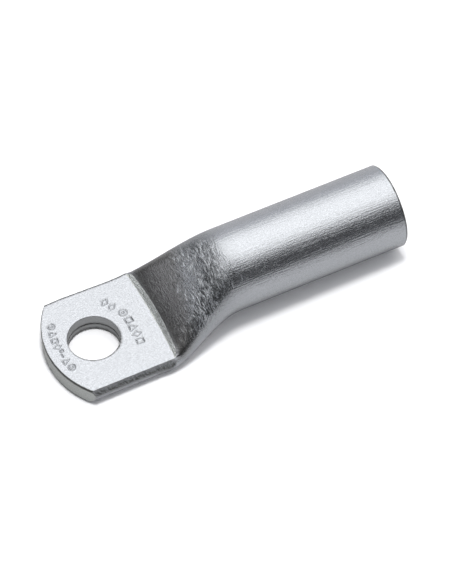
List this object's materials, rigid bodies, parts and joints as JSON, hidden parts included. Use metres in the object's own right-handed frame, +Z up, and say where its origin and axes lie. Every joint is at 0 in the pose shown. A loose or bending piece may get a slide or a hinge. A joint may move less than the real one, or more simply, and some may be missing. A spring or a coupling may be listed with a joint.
{
  "type": "copper cable lug",
  "caption": "Tin-plated copper lug with a round barrel for a stripped conductor, a flare pressed from the same tube, and a flat palm with a stud hole.",
  "frame": {"origin": "on the palm's underside, at the middle of the stud hole", "axes": "+X along the barrel towards its open mouth, +Z up, away from the palm's underside and towards the side that the flare rises to"},
  "size_m": [0.0782, 0.0252, 0.0189],
  "materials": {
    "tinned_copper": "satin tin plating on copper"
  },
  "bodies": {
    "root": {"cable_lug": "tinned_copper"}
  },
  "joints": []
}
